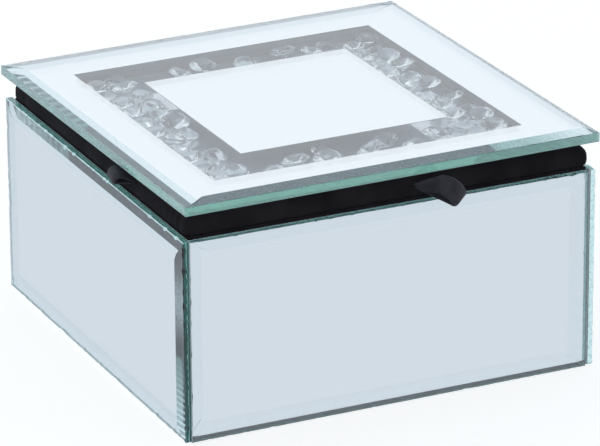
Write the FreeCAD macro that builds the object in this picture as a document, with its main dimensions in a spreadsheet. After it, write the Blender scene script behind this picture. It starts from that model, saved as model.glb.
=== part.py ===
"""Mirrored trinket box: bevelled mirror walls, velvet lining and a hinged lid that shows loose crystals.

Frame: +Z up, +X to the right along the front, +Y to the back. The origin is the centre of the
underside, at the level that the box stands on. All sizes are in millimetres.
"""
import FreeCAD
import Part
import Sketcher

import math
import os
import re

SIZES = {
    # Outside
    "box_side": 150.0,           # width and depth over the mirror walls
    "wall_top": 70.0,            # top edge of the front and back mirrors
    "wall_foot": 0.3,            # bottom edge of the front and back mirrors
    "side_lift": 0.6,            # the side mirrors sit this much higher than the front one
    "glass_thick": 2.5,
    "glass_edge": 1.9,           # thickness left at a bevelled edge of a wall mirror
    "bevel_width": 5.5,
    "silver_thick": 0.2,         # silvering with its grey protective paint
    # Carcass
    "felt_thick": 1.0,
    "felt_inset": 4.0,
    "floor_thick": 3.0,
    "board_thick": 5.0,
    "board_top": 70.4,
    "lining_thick": 0.9,
    "rim_top": 71.15,            # velvet rim that the lid closes on
    "pad_thick": 2.5,
    "pad_gap": 0.4,
    # Lid tray
    "seam_gap": 0.1,
    "tray_board_thick": 1.5,
    "tray_mirror_thick": 0.7,
    "rail_width": 13.0,
    "cover_thick": 0.8,
    "cover_inset": 2.7,          # the velvet stands this far inside the outer wall faces
    "cover_round": 6.0,          # rounding of the velvet along the lid's upper edges
    "cover_lip": 4.0,            # velvet turned in under the tray board and over the rails
    "lining_card_side": 124.0,
    "lining_card_drop": 1.2,
    # Lid glass
    "plate_side": 150.6,
    "plate_bottom": 80.1,
    "plate_thick": 3.5,
    "plate_edge": 2.9,
    "plate_skew": 0.85,          # degrees: the glass is glued on a little askew
    "coat_thick": 0.25,
    "window_side": 112.8,
    "centre_side": 76.3,
    # Ribbon loops: each leaves the lid at a slant, so its root lies behind the velvet's face
    "ribbon_width": 9.5,
    "ribbon_thick": 0.5,
    "front_loop_length": 25.4,
    "front_loop_rise": 6.0,
    "front_root_x": 3.0,
    "front_root_y": -68.1,
    "front_root_z": 74.9,
    "side_loop_length": 15.2,
    "side_loop_rise": 2.8,
    "side_root_x": -63.6,
    "side_root_y": -32.5,
    "side_root_z": 75.4,
    # Hinges
    "hinge_spacing": 90.0,
    "leaf_width": 18.0,
    "leaf_thick": 0.7,
    "leaf_depth": 8.6,
    "knuckle_width": 6.0,
    "knuckle_gap": 0.15,
    "knuckle_radius": 1.55,
    "barrel_setback": 1.9,       # pin axis behind the back mirror's face
    "pin_radius": 0.6,
    "bore_clearance": 0.05,
    "pin_head_radius": 0.95,
    "pin_head_thick": 0.6,
    "screw_spacing": 11.0,
    "screw_radius": 0.7,
    "screw_head_radius": 1.3,
    "screw_length": 4.5,
}

STONE_DIAMETER = 9.4
# Centres of the loose stones in the lid's window, strip by strip: (x, y), size factor.
LEFT_STONES = [
    (-50.4, -47.6, 1.0), (-41.2, -42.6, 1.0), (-50.6, -37.8, 0.9), (-50.0, -28.4, 1.0),
    (-40.6, -25.8, 0.9), (-51.6, -19.4, 0.9), (-49.8, -10.4, 1.0), (-42.2, -4.2, 1.0),
    (-51.4, -0.6, 0.9), (-41.4, 5.6, 1.0), (-51.2, 8.6, 1.0), (-42.6, 14.8, 0.9),
    (-51.0, 18.6, 1.0), (-41.6, 24.2, 1.0), (-50.6, 28.8, 1.0), (-41.8, 34.0, 0.9),
    (-51.2, 38.4, 0.9), (-43.0, 43.2, 1.0), (-51.6, 48.2, 1.0), (-41.6, 53.2, 1.0),
]
BACK_STONES = [
    (-20.4, 49.2, 0.9), (-10.0, 52.6, 1.0), (5.0, 50.0, 0.9), (20.6, 52.8, 1.0),
    (29.4, 49.0, 0.9), (37.6, 52.8, 0.9),
]
RIGHT_STONES = [
    (53.0, 52.6, 0.9), (45.4, 47.4, 0.9), (52.4, 41.8, 0.9), (43.8, 38.2, 0.9),
    (51.0, 33.0, 1.0), (43.2, 27.6, 0.9), (52.2, 23.4, 1.0), (43.4, 18.2, 1.0),
    (50.8, 12.6, 0.9), (43.6, 6.6, 1.0), (52.6, 3.4, 0.9), (44.8, -9.4, 1.0),
    (53.2, -12.8, 0.9), (46.2, -18.8, 1.0), (53.4, -24.4, 0.9), (45.6, -28.8, 1.0),
    (53.2, -34.0, 1.0), (44.6, -38.8, 1.0), (52.8, -43.8, 1.0), (44.0, -48.6, 0.9),
]
FRONT_STONES = [
    (-30.6, -50.4, 0.9), (-20.6, -45.8, 1.0), (-10.6, -47.8, 1.0), (-7.6, -38.8, 0.9),
    (6.4, -46.6, 1.0), (14.4, -40.6, 0.9), (22.4, -47.4, 1.0), (31.4, -42.4, 1.0),
    (35.4, -51.2, 0.9),
]

DOC = FreeCAD.newDocument("trinket_box")
SHEET = DOC.addObject("Spreadsheet::Sheet", "Dims")
NODES = []


def fill_sheet():
    """Write every driving size to its own named cell."""
    for row, (alias, size) in enumerate(SIZES.items(), start=1):
        SHEET.set(f"A{row}", alias.replace("_", " "))
        SHEET.set(f"B{row}", str(size))
        SHEET.setAlias(f"B{row}", alias)
    DOC.recompute()


def expression(text):
    """Turn the size names in a formula into references to the sheet."""
    return re.sub(r"[a-z_]+", lambda word: reference(word.group()), text)


def reference(word):
    return f"Dims.{word}" if word in SIZES else word


def value(text):
    """Number that a formula gives now."""
    return float(SHEET.evalExpression(expression(text)))


# Levels and faces that several pieces share, as formulas.
WALL_FACE = "(box_side / 2)"
GLASS_BACK = "(box_side / 2 - glass_thick)"
SILVER_BACK = "(box_side / 2 - glass_thick - silver_thick)"
BOARD_BACK = "(box_side / 2 - glass_thick - silver_thick - board_thick)"
LINING_FACE = f"({BOARD_BACK} - lining_thick)"
FLOOR_TOP = "(felt_thick + floor_thick)"
LID_BOTTOM = "(rim_top + seam_gap)"
TRAY_BOTTOM = f"({LID_BOTTOM} + leaf_thick)"
TRAY_TOP = f"({TRAY_BOTTOM} + tray_board_thick)"
COVER_FACE = "(box_side / 2 - cover_inset)"
COVER_TOP = "(plate_bottom - coat_thick)"
FRAME_FACE = f"({COVER_FACE} - cover_thick)"
RAIL_TOP = f"({COVER_TOP} - cover_thick)"
RAIL_BACK = f"({FRAME_FACE} - rail_width)"
PIN_Y = "(box_side / 2 + barrel_setback)"
PIN_Z = "(rim_top + seam_gap / 2)"
SCREW_Y = f"({PIN_Y} - leaf_depth + 1.4)"


def keep(obj, label):
    """Register a finished sub-part; its label is also its file name."""
    obj.Label = label
    NODES.append(obj)
    return obj


def place(obj, x="0", y="0", z="0", rotation=None):
    """Put an object's origin where three formulas say, turned by a fixed rotation."""
    if rotation is not None:
        obj.Placement = FreeCAD.Placement(FreeCAD.Vector(), rotation)
    for axis, text in zip("xyz", (x, y, z)):
        obj.setExpression(f"Placement.Base.{axis}", expression(text))


def slab(name, x, y, z):
    """Rectangular block between pairs of formulas."""
    obj = DOC.addObject("Part::Box", name)
    for size, (low, high) in zip(("Length", "Width", "Height"), (x, y, z)):
        obj.setExpression(size, expression(f"({high}) - ({low})"))
    place(obj, x[0], y[0], z[0])
    return obj


def rod(name, radius, length, rotation=None, **position):
    obj = DOC.addObject("Part::Cylinder", name)
    obj.setExpression("Radius", expression(radius))
    obj.setExpression("Height", expression(length))
    place(obj, rotation=rotation, **position)
    return obj


def fuse(name, shapes):
    obj = DOC.addObject("Part::MultiFuse", name)
    obj.Shapes = shapes
    return obj


def cut(name, base, tools):
    """Base less all the tools."""
    obj = DOC.addObject("Part::Cut", name)
    obj.Base = base
    obj.Tool = tools[0] if len(tools) == 1 else fuse(f"{name}_tools", tools)
    return obj


def own_plane_sketch(body, name, role):
    """Sketch on one of the body's own origin planes."""
    sketch = body.newObject("Sketcher::SketchObject", name)
    plane = next(item for item in body.Origin.OriginFeatures if item.Role == role)
    sketch.AttachmentSupport = [(plane, "")]
    sketch.MapMode = "FlatFace"
    return sketch


def flat_sketch(body, name, level="0"):
    """Sketch on the body's own XY plane, raised to a level."""
    sketch = own_plane_sketch(body, name, "XY_Plane")
    sketch.setExpression("AttachmentOffset.Base.z", expression(level))
    return sketch


def bind_sizes(sketch, sizes):
    """Add dimensional constraints, each bound to its formula."""
    for arguments, text in sizes:
        index = sketch.addConstraint(Sketcher.Constraint(*arguments, value(text)))
        sketch.setExpression(f"Constraints[{index}]", expression(text))


def draw_rectangle(sketch, width, depth):
    """Rectangle centred on the sketch's origin, its two sides set by formulas."""
    half_x = value(width) / 2
    half_y = value(depth) / 2
    corners = [(-half_x, -half_y), (half_x, -half_y), (half_x, half_y), (-half_x, half_y)]
    first = sketch.GeometryCount
    for start, end in zip(corners, corners[1:] + corners[:1]):
        line = Part.LineSegment(FreeCAD.Vector(*start, 0), FreeCAD.Vector(*end, 0))
        sketch.addGeometry(line, False)
    for side in range(4):
        following = first + (side + 1) % 4
        sketch.addConstraint(Sketcher.Constraint("Coincident", first + side, 2, following, 1))
        direction = "Vertical" if side % 2 else "Horizontal"
        sketch.addConstraint(Sketcher.Constraint(direction, first + side))
    sketch.addConstraint(Sketcher.Constraint("Symmetric", first, 1, first + 2, 1, -1, 1))
    across = (("DistanceX", first, 1, first, 2), width)
    along = (("DistanceY", first + 1, 1, first + 1, 2), depth)
    bind_sizes(sketch, [across, along])


def sheet_body(name, sides, level, thickness):
    """Flat sheet; a second pair of sides is the opening through it."""
    body = DOC.addObject("PartDesign::Body", name)
    sketch = flat_sketch(body, f"{name}_outline", level)
    for width, depth in sides:
        draw_rectangle(sketch, width, depth)
    pad = body.newObject("PartDesign::Pad", f"{name}_pad")
    pad.Profile = sketch
    pad.setExpression("Length", expression(thickness))
    return body


def bevelled_plate(name, width, height, thickness, edge):
    """Glass plate, face up, whose top is ground to a bevel along all four sides."""
    body = sheet_body(name, [(width, height)], "0", edge)
    shoulder = flat_sketch(body, f"{name}_shoulder", edge)
    draw_rectangle(shoulder, width, height)
    crown = flat_sketch(body, f"{name}_crown", thickness)
    draw_rectangle(crown, f"{width} - 2 * bevel_width", f"{height} - 2 * bevel_width")
    loft = body.newObject("PartDesign::AdditiveLoft", f"{name}_bevel")
    loft.Profile = shoulder
    loft.Sections = [crown]
    loft.Ruled = True
    return body


def cushion(name, side, low, high, rounding):
    """Square block with its four upper edges rounded over."""
    body = sheet_body(name, [(side, side)], low, f"({high}) - ({low})")
    DOC.recompute()
    pad = body.Tip
    level = value(high)
    edges = [
        f"Edge{number}" for number, edge in enumerate(pad.Shape.Edges, start=1)
        if edge.BoundBox.ZMin > level - 0.01
    ]
    rounded = body.newObject("PartDesign::Fillet", f"{name}_round")
    rounded.Base = (pad, edges)
    rounded.setExpression("Radius", expression(rounding))
    return body


def mirror_wall(side, yaw, width, lift):
    """One wall mirror: bevelled glass, and the silvering on its back."""
    height = "(wall_top - wall_foot)"
    upright = FreeCAD.Rotation(yaw, 0, 90)
    middle = f"wall_foot + {height} / 2 + {lift}"
    outward = FreeCAD.Rotation(yaw, 0, 0).multVec(FreeCAD.Vector(0, -1, 0))
    axis = "x" if abs(outward.x) > 0.5 else "y"
    sign = "-" if min(outward.x, outward.y) < -0.5 else ""
    glass = bevelled_plate(f"{side}_glass", width, height, "glass_thick", "glass_edge")
    place(glass, z=middle, rotation=upright, **{axis: f"{sign}{GLASS_BACK}"})
    keep(glass, f"{side}_mirror_glass")
    coat = sheet_body(f"{side}_coat", [(width, height)], "0", "silver_thick")
    place(coat, z=middle, rotation=upright, **{axis: f"{sign}{SILVER_BACK}"})
    keep(coat, f"{side}_silvering")


def make_walls():
    """Side mirrors run the full depth and cover the ends of the front and back ones."""
    mirror_wall("front", 0, f"2 * {SILVER_BACK}", "0")
    mirror_wall("back", 180, f"2 * {SILVER_BACK}", "0")
    mirror_wall("left", -90, "box_side", "side_lift")
    mirror_wall("right", 90, "box_side", "side_lift")


def screw_places(side):
    """Formulas for the x of the two screws of one hinge."""
    centre = f"{side} * hinge_spacing / 2"
    return [f"{centre} + {step} * screw_spacing / 2" for step in (-1, 1)]


def pilot_holes(name, low, high):
    """Rods that drill the screw holes of both hinges between two levels."""
    places = [x for side in (-1, 1) for x in screw_places(side)]
    return [
        rod(f"{name}_drill_{number}", "screw_radius", f"({high}) - ({low})", x=x, y=SCREW_Y, z=low)
        for number, x in enumerate(places)
    ]


def leaf_recesses(name, low, high):
    """Blocks that clear both hinges' leaves out of the velvet."""
    blocks = []
    for side in (-1, 1):
        centre = f"{side} * hinge_spacing / 2"
        x = (f"{centre} - leaf_width / 2", f"{centre} + leaf_width / 2")
        y = (f"{PIN_Y} - barrel_setback - leaf_depth", WALL_FACE)
        blocks.append(slab(f"{name}_recess_{side + 1}", x, y, (low, high)))
    return blocks


def make_carcass():
    felt = f"({SILVER_BACK} - felt_inset)"
    keep(slab("felt", (f"-{felt}", felt), (f"-{felt}", felt), ("0", "felt_thick")), "felt_base_pad")
    across = (f"-{SILVER_BACK}", SILVER_BACK)
    between = (f"-{BOARD_BACK}", BOARD_BACK)
    low = (f"-{SILVER_BACK}", f"-{BOARD_BACK}")
    high = (BOARD_BACK, SILVER_BACK)
    rise = (FLOOR_TOP, "board_top")
    keep(slab("floor", across, across, ("felt_thick", FLOOR_TOP)), "base_board")
    keep(slab("front", between, low, rise), "front_board")
    keep(slab("left", low, across, rise), "left_board")
    keep(slab("right", high, across, rise), "right_board")
    back = slab("back", between, high, rise)
    holes = pilot_holes("back_board", "board_top + leaf_thick - screw_length", "board_top + 1")
    keep(cut("back_drilled", back, holes), "back_board")


def make_lining():
    """Velvet-covered cards inside, each turned out over the top of its board."""
    full = (f"-{SILVER_BACK}", SILVER_BACK)
    inner = (f"-{LINING_FACE}", LINING_FACE)
    bands = {
        "front": ((f"-{BOARD_BACK}", f"-{LINING_FACE}"), (f"-{SILVER_BACK}", f"-{LINING_FACE}")),
        "back": ((LINING_FACE, BOARD_BACK), (LINING_FACE, SILVER_BACK)),
    }
    bands["left"] = bands["front"]
    bands["right"] = bands["back"]
    for side, (card_band, flap_band) in bands.items():
        runs_across = side in ("front", "back")
        length = inner if runs_across else full
        card_length = inner if runs_across else (f"-{BOARD_BACK}", BOARD_BACK)
        card = (card_length, card_band) if runs_across else (card_band, card_length)
        flap = (length, flap_band) if runs_across else (flap_band, length)
        pieces = [
            slab(f"{side}_card", *card, (FLOOR_TOP, "board_top")),
            slab(f"{side}_flap", *flap, ("board_top", "rim_top")),
        ]
        lining = fuse(f"{side}_lining", pieces)
        if side == "back":
            lining = cut("back_lining_cut", lining, leaf_recesses("rim", "board_top", "rim_top + 1"))
        keep(lining, f"{side}_velvet_lining")
    floor_side = f"2 * ({LINING_FACE} - pad_gap)"
    pad = cushion("floor_pad", floor_side, FLOOR_TOP, f"{FLOOR_TOP} + pad_thick", "pad_thick / 2")
    keep(pad, "velvet_floor_pad")


def make_tray():
    """Shallow tray under the lid glass: board, mirror floor and four rails, wrapped in velvet."""
    frame = (f"-{FRAME_FACE}", FRAME_FACE)
    board = slab("lid_panel", frame, frame, (TRAY_BOTTOM, TRAY_TOP))
    holes = pilot_holes("lid_panel", f"{TRAY_BOTTOM} - 1", f"{TRAY_TOP} + 1")
    keep(cut("lid_panel_drilled", board, holes), "lid_board")
    mirror_side = f"2 * {RAIL_BACK}"
    mirror = sheet_body("tray_mirror", [(mirror_side, mirror_side)], TRAY_TOP, "tray_mirror_thick")
    keep(mirror, "tray_mirror_floor")
    inner = (f"-{RAIL_BACK}", RAIL_BACK)
    regions = {
        "front": (frame, (f"-{FRAME_FACE}", f"-{RAIL_BACK}")),
        "back": (frame, (RAIL_BACK, FRAME_FACE)),
        "left": ((f"-{FRAME_FACE}", f"-{RAIL_BACK}"), inner),
        "right": ((RAIL_BACK, FRAME_FACE), inner),
    }
    for side, (x, y) in regions.items():
        form = cushion(
            f"{side}_rail_form", f"2 * {FRAME_FACE}", TRAY_TOP, RAIL_TOP, "cover_round - cover_thick",
        )
        rail = DOC.addObject("Part::Common", f"{side}_rail")
        rail.Base = form
        rail.Tool = slab(f"{side}_rail_region", x, y, (TRAY_TOP, RAIL_TOP))
        if side == "back":
            tip = f"{LID_BOTTOM} + screw_length"
            rail = cut("back_rail_drilled", rail, pilot_holes("back_rail", f"{TRAY_TOP} - 1", tip))
        keep(rail, f"tray_{side}_rail")


def make_velvet_cover():
    """Velvet drawn over the tray's sides and turned in above and below."""
    outer = cushion("cover_outer", f"2 * {COVER_FACE}", LID_BOTTOM, COVER_TOP, "cover_round")
    rounding = "cover_round - cover_thick"
    inner = cushion("cover_inner", f"2 * {FRAME_FACE}", TRAY_BOTTOM, RAIL_TOP, rounding)
    mouth = f"({FRAME_FACE} - cover_round - cover_lip)"
    span = (f"-{mouth}", mouth)
    over = slab("cover_mouth", span, span, (TRAY_BOTTOM, f"{COVER_TOP} + 1"))
    turned = f"({FRAME_FACE} - cover_lip)"
    span = (f"-{turned}", turned)
    under = slab("cover_underside", span, span, (f"{LID_BOTTOM} - 1", TRAY_TOP))
    tools = [inner, over, under] + leaf_recesses("cover", f"{LID_BOTTOM} - 1", TRAY_BOTTOM)
    keep(cut("cover", outer, tools), "lid_velvet_cover")
    side = "lining_card_side"
    depth = f"{TRAY_BOTTOM} - {LID_BOTTOM} + lining_card_drop"
    card = sheet_body("lid_card", [(side, side)], f"{LID_BOTTOM} - lining_card_drop", depth)
    keep(card, "lid_lining_card")


def make_lid_glass():
    """Bevelled glass with a silvered border and a silvered square; the strip between is clear."""
    plate = bevelled_plate("lid_plate", "plate_side", "plate_side", "plate_thick", "plate_edge")
    place(plate, z="plate_bottom")
    keep(plate, "lid_glass_plate")
    border_sides = [("plate_side", "plate_side"), ("window_side", "window_side")]
    border = sheet_body("border_coat", border_sides, COVER_TOP, "coat_thick")
    keep(border, "lid_border_silvering")
    centre = sheet_body("centre_coat", [("centre_side", "centre_side")], COVER_TOP, "coat_thick")
    keep(centre, "lid_centre_silvering")
    for piece in (plate, border, centre):
        piece.setExpression("Placement.Rotation.Angle", expression("plate_skew * 1 deg"))


def stone_shape(diameter):
    """Eight-sided brilliant: small flat culet, pavilion, girdle, crown and table."""
    rings = [(0.12, 0.0), (1.0, 0.27), (1.0, 0.31), (0.56, 0.46)]
    wires = []
    for spread, height in rings:
        radius = spread * diameter / 2
        corners = [
            FreeCAD.Vector(
                radius * math.cos(math.radians(45 * step)),
                radius * math.sin(math.radians(45 * step)),
                height * diameter,
            )
            for step in range(9)
        ]
        wires.append(Part.makePolygon(corners))
    return Part.makeLoft(wires, True, True)


def make_stones():
    """Loose stones on the tray's mirror floor, each turned and tipped its own way."""
    floor = value(f"{TRAY_TOP} + tray_mirror_thick") + 0.05
    stones = []
    for number, (x, y, size) in enumerate(LEFT_STONES + BACK_STONES + RIGHT_STONES + FRONT_STONES):
        stone = stone_shape(STONE_DIAMETER * size)
        if number % 3 == 1:
            stone.rotate(FreeCAD.Vector(), FreeCAD.Vector(1, 0, 0), 180)
        stone.rotate(FreeCAD.Vector(), FreeCAD.Vector(0, 0, 1), 37 * number % 360)
        stone.rotate(FreeCAD.Vector(), FreeCAD.Vector(1, 0, 0), 6 * math.sin(2.1 * number))
        stone.rotate(FreeCAD.Vector(), FreeCAD.Vector(0, 1, 0), 6 * math.cos(1.3 * number))
        stone.translate(FreeCAD.Vector(x, y, floor - stone.BoundBox.ZMin))
        stones.append(stone)
    group = DOC.addObject("Part::Feature", "stones")
    group.Shape = Part.makeCompound(stones)
    group.Placement = FreeCAD.Placement()
    keep(group, "crystals")


def draw_teardrop(sketch, root, centre, radius):
    """Pointed loop: two lines from a root on the X axis, tangent to a round nose."""
    start, middle, bend = value(root), value(centre), value(radius)
    slope = math.asin(bend / (middle - start))
    touch = FreeCAD.Vector(middle - bend * math.sin(slope), bend * math.cos(slope), 0)
    mirrored = FreeCAD.Vector(touch.x, -touch.y, 0)
    point = FreeCAD.Vector(start, 0, 0)
    nose = Part.Arc(mirrored, FreeCAD.Vector(middle + bend, 0, 0), touch)
    first = sketch.GeometryCount
    for shape in (Part.LineSegment(point, mirrored), nose, Part.LineSegment(touch, point)):
        sketch.addGeometry(shape, False)
    last = first + 2
    sketch.addConstraint(Sketcher.Constraint("Tangent", first, 2, first + 1, 1))
    sketch.addConstraint(Sketcher.Constraint("Tangent", first + 1, 2, last, 1))
    sketch.addConstraint(Sketcher.Constraint("Coincident", last, 2, first, 1))
    sketch.addConstraint(Sketcher.Constraint("PointOnObject", first, 1, -1))
    sketch.addConstraint(Sketcher.Constraint("PointOnObject", first + 1, 3, -1))
    sizes = [
        (("DistanceX", -1, 1, first, 1), root),
        (("DistanceX", -1, 1, first + 1, 3), centre),
        (("Radius", first + 1), radius),
    ]
    bind_sizes(sketch, sizes)


def ribbon_loop(name, side, turn, tilt, climb, inside):
    """Ribbon folded into a loop, cut off where it enters the velvet."""
    length, bend = f"{side}_loop_length", f"({side}_loop_rise / 2)"
    centre = f"({length} - {bend})"
    body = DOC.addObject("PartDesign::Body", f"{name}_band")
    sketch = own_plane_sketch(body, f"{name}_profile", "XZ_Plane")
    draw_teardrop(sketch, "0", centre, bend)
    draw_teardrop(sketch, f"ribbon_thick * {centre} / {bend}", centre, f"{bend} - ribbon_thick")
    pad = body.newObject("PartDesign::Pad", f"{name}_width")
    pad.Profile = sketch
    pad.SideType = "Symmetric"
    pad.setExpression("Length", expression("ribbon_width"))
    rotation = FreeCAD.Rotation(turn, -climb, tilt)
    place(body, f"{side}_root_x", f"{side}_root_y", f"{side}_root_z", rotation=rotation)
    keep(cut(f"{name}_trimmed", body, [slab(f"{name}_root", *inside)]), name)


def make_ribbons():
    """Pull ribbon at the front and a smaller loop at the left."""
    depth = (f"-{FRAME_FACE}", "0")
    width = ("-box_side / 4", "box_side / 4")
    height = ("wall_top", "plate_bottom")
    ribbon_loop("front_pull_ribbon", "front", -52, 12, 3, (width, depth, height))
    ribbon_loop("side_pull_ribbon", "side", 155, -11, 4, (depth, width, height))


def leaf(name, side, low, knuckles, bore):
    """Hinge leaf: plate, its knuckles on the pin axis, and two countersunk screw holes."""
    along_x = FreeCAD.Rotation(0, 90, 0)
    centre = f"{side} * hinge_spacing / 2"
    back = f"{PIN_Y} - knuckle_radius - 0.25"
    high = f"{low} + leaf_thick"
    x = (f"{centre} - leaf_width / 2", f"{centre} + leaf_width / 2")
    solids = [slab(f"{name}_plate", x, (f"{PIN_Y} - barrel_setback - leaf_depth", back), (low, high))]
    for number, (start, end) in enumerate(knuckles):
        start = f"{centre} + {start}"
        end = f"{centre} + {end}"
        tab = slab(f"{name}_tab_{number}", (start, end), (back, PIN_Y), (low, high))
        width = f"({end}) - ({start})"
        barrel = rod(
            f"{name}_knuckle_{number}", "knuckle_radius", width, rotation=along_x, x=start, y=PIN_Y, z=PIN_Z,
        )
        solids += [tab, barrel]
    holes = [
        rod(f"{name}_bore", bore, "leaf_width + 2", rotation=along_x, x=f"{x[0]} - 1", y=PIN_Y, z=PIN_Z),
    ]
    for number, screw_x in enumerate(screw_places(side)):
        sink = DOC.addObject("Part::Cone", f"{name}_sink_{number}")
        upward = name.endswith("base_leaf")
        sink.setExpression("Radius1", expression("screw_radius" if upward else "screw_head_radius"))
        sink.setExpression("Radius2", expression("screw_head_radius" if upward else "screw_radius"))
        sink.setExpression("Height", expression("leaf_thick"))
        place(sink, screw_x, SCREW_Y, low)
        holes.append(sink)
    keep(cut(f"{name}_body", fuse(f"{name}_solid", solids), holes), name)


def make_hinges():
    """Two butt hinges between the back board's top edge and the tray board."""
    middle = ("-knuckle_width / 2", "knuckle_width / 2")
    outer = [
        ("-leaf_width / 2", "-knuckle_width / 2 - knuckle_gap"),
        ("knuckle_width / 2 + knuckle_gap", "leaf_width / 2"),
    ]
    for side, word in ((-1, "left"), (1, "right")):
        leaf(f"{word}_hinge_base_leaf", side, "board_top", outer, "pin_radius")
        leaf(f"{word}_hinge_lid_leaf", side, LID_BOTTOM, [middle], "pin_radius + bore_clearance")
        keep(hinge_pin(word, side), f"{word}_hinge_pin")


def hinge_pin(word, side):
    """Pin through all knuckles with a low head at each end."""
    along_x = FreeCAD.Rotation(0, 90, 0)
    start = f"{side} * hinge_spacing / 2 - leaf_width / 2"
    end = f"{side} * hinge_spacing / 2 + leaf_width / 2"
    head = {"radius": "pin_head_radius", "length": "pin_head_thick", "rotation": along_x}
    spots = {"y": PIN_Y, "z": PIN_Z}
    return fuse(f"{word}_pin", [
        rod(f"{word}_pin_shank", "pin_radius", "leaf_width", rotation=along_x, x=start, **spots),
        rod(f"{word}_pin_head_a", x=f"{start} - pin_head_thick", **head, **spots),
        rod(f"{word}_pin_head_b", x=end, **head, **spots),
    ])


def screw(name, side, step, level, turned):
    """Countersunk wood screw turned about its own axis from a half profile."""
    body = DOC.addObject("PartDesign::Body", name)
    sketch = own_plane_sketch(body, f"{name}_profile", "XZ_Plane")
    profile = [
        ("0", "0"), ("screw_head_radius", "0"), ("screw_radius", "-leaf_thick"),
        ("screw_radius", "-screw_length + screw_radius"), ("0", "-screw_length"),
    ]
    points = [FreeCAD.Vector(value(x), value(z), 0) for x, z in profile]
    count = len(points)
    for number in range(count):
        sketch.addGeometry(Part.LineSegment(points[number], points[(number + 1) % count]), False)
    for number in range(count):
        sketch.addConstraint(Sketcher.Constraint("Coincident", number, 2, (number + 1) % count, 1))
    sketch.addConstraint(Sketcher.Constraint("Coincident", 0, 1, -1, 1))
    sketch.addConstraint(Sketcher.Constraint("Horizontal", 0))
    sketch.addConstraint(Sketcher.Constraint("Vertical", count - 1))
    sketch.addConstraint(Sketcher.Constraint("Vertical", 2))
    sizes = [
        (("DistanceX", 0, 1, 0, 2), "screw_head_radius"),
        (("DistanceX", -1, 1, 1, 2), "screw_radius"),
        (("DistanceY", 1, 2, 1, 1), "leaf_thick"),
        (("DistanceY", 2, 2, 1, 1), "screw_length - screw_radius"),
        (("DistanceY", 3, 2, 1, 1), "screw_length"),
    ]
    bind_sizes(sketch, sizes)
    turn = body.newObject("PartDesign::Revolution", f"{name}_turn")
    turn.Profile = sketch
    turn.ReferenceAxis = (sketch, ["V_Axis"])
    turn.Angle = 360.0
    flip = FreeCAD.Rotation(FreeCAD.Vector(1, 0, 0), 180 if turned else 0)
    place(body, screw_places(side)[step], SCREW_Y, level, rotation=flip)
    return body


def make_screws():
    """The hinge screws: four into the back board, four up into the tray."""
    levels = {"base": ("board_top + leaf_thick", False), "lid": (LID_BOTTOM, True)}
    for word, (level, turned) in levels.items():
        screws = [
            screw(f"{word}_screw_{side + 1}_{step}", side, step, level, turned)
            for side in (-1, 1) for step in (0, 1)
        ]
        group = DOC.addObject("Part::Compound", f"{word}_screws")
        group.Links = screws
        keep(group, f"hinge_{word}_screws")


def check_document():
    """Stop on anything that failed to build."""
    DOC.recompute()
    for obj in DOC.Objects:
        if "Invalid" in obj.State or "Error" in obj.State:
            raise RuntimeError(f"{obj.Name} failed: {obj.State}")
    for node in NODES:
        if node.Shape.isNull() or not node.Shape.isValid():
            raise RuntimeError(f"{node.Label} has a bad shape")


def export_nodes():
    os.makedirs("parts", exist_ok=True)
    for node in NODES:
        node.Shape.exportStep(f"parts/{node.Label}.step")
        print(f"{node.Label:26s} solids {len(node.Shape.Solids):3d}  volume {node.Shape.Volume:10.1f} mm3")


fill_sheet()
make_carcass()
make_lining()
make_walls()
make_tray()
make_velvet_cover()
make_lid_glass()
make_stones()
make_ribbons()
make_hinges()
make_screws()
check_document()
export_nodes()
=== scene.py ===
"""Looks of the mirrored trinket box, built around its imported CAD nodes.

Everything is in metres in the CAD's own frame: +X right along the front, +Y to the back, +Z up.
"""
import math

import bmesh
import bpy
from mathutils import Matrix, Vector, noise


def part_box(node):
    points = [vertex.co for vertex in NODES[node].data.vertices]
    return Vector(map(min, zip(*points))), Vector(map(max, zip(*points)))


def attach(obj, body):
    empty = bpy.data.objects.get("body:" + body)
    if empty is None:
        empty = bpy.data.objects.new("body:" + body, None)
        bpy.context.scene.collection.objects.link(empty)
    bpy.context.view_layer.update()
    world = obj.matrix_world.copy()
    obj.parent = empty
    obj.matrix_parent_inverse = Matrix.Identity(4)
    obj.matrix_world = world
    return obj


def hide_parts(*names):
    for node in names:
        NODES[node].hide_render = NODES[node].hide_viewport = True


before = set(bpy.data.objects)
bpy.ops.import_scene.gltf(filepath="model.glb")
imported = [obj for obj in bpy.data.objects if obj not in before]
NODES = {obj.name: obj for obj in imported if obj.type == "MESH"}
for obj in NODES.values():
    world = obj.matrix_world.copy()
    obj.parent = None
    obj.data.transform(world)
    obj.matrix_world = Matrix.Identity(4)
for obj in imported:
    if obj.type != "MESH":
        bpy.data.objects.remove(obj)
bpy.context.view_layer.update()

MM = 0.001
SIDES = ("front", "back", "left", "right")
HINGES = ("left", "right")

# Bevelled glass
HAIR = 0.02 * MM             # between two rings of points that look like one sharp line
BEVEL = 5.5 * MM
WALL_EDGE = 1.9 * MM         # thickness left under a wall mirror's bevel
WALL_PROUD = 0.35 * MM       # how far the front, left and right mirrors stand out beyond their solids
SIDE_TRIM = 0.05 * MM        # off each end of the front and back mirrors, so they clear the side ones
WALL_FLARE = (1.3 * MM, 2.6 * MM)
WALL_STEP = 0.6 * MM
LID_SIDE = 150.6 * MM
LID_THICK = 3.5 * MM
LID_EDGE = 2.9 * MM
LID_FLARE = (2.7 * MM, 3.4 * MM)
LID_STEP = 1.0 * MM
LID_SKEW = math.radians(0.85)
EMBEDDED = 0.03 * MM         # how far a plate's back reaches into its silvering
CRACK_SIZE = 1.3             # of the jagged line's teeth, in millimetres
GREEN_DENSITY = 9.0
# The ladder of light lines and the patch of light above it are painted reflection and painted light in a wall
# bevel's colour.
RUNG_PITCH = 2.15 * MM
LADDER_HEIGHT = 37 * MM
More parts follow.
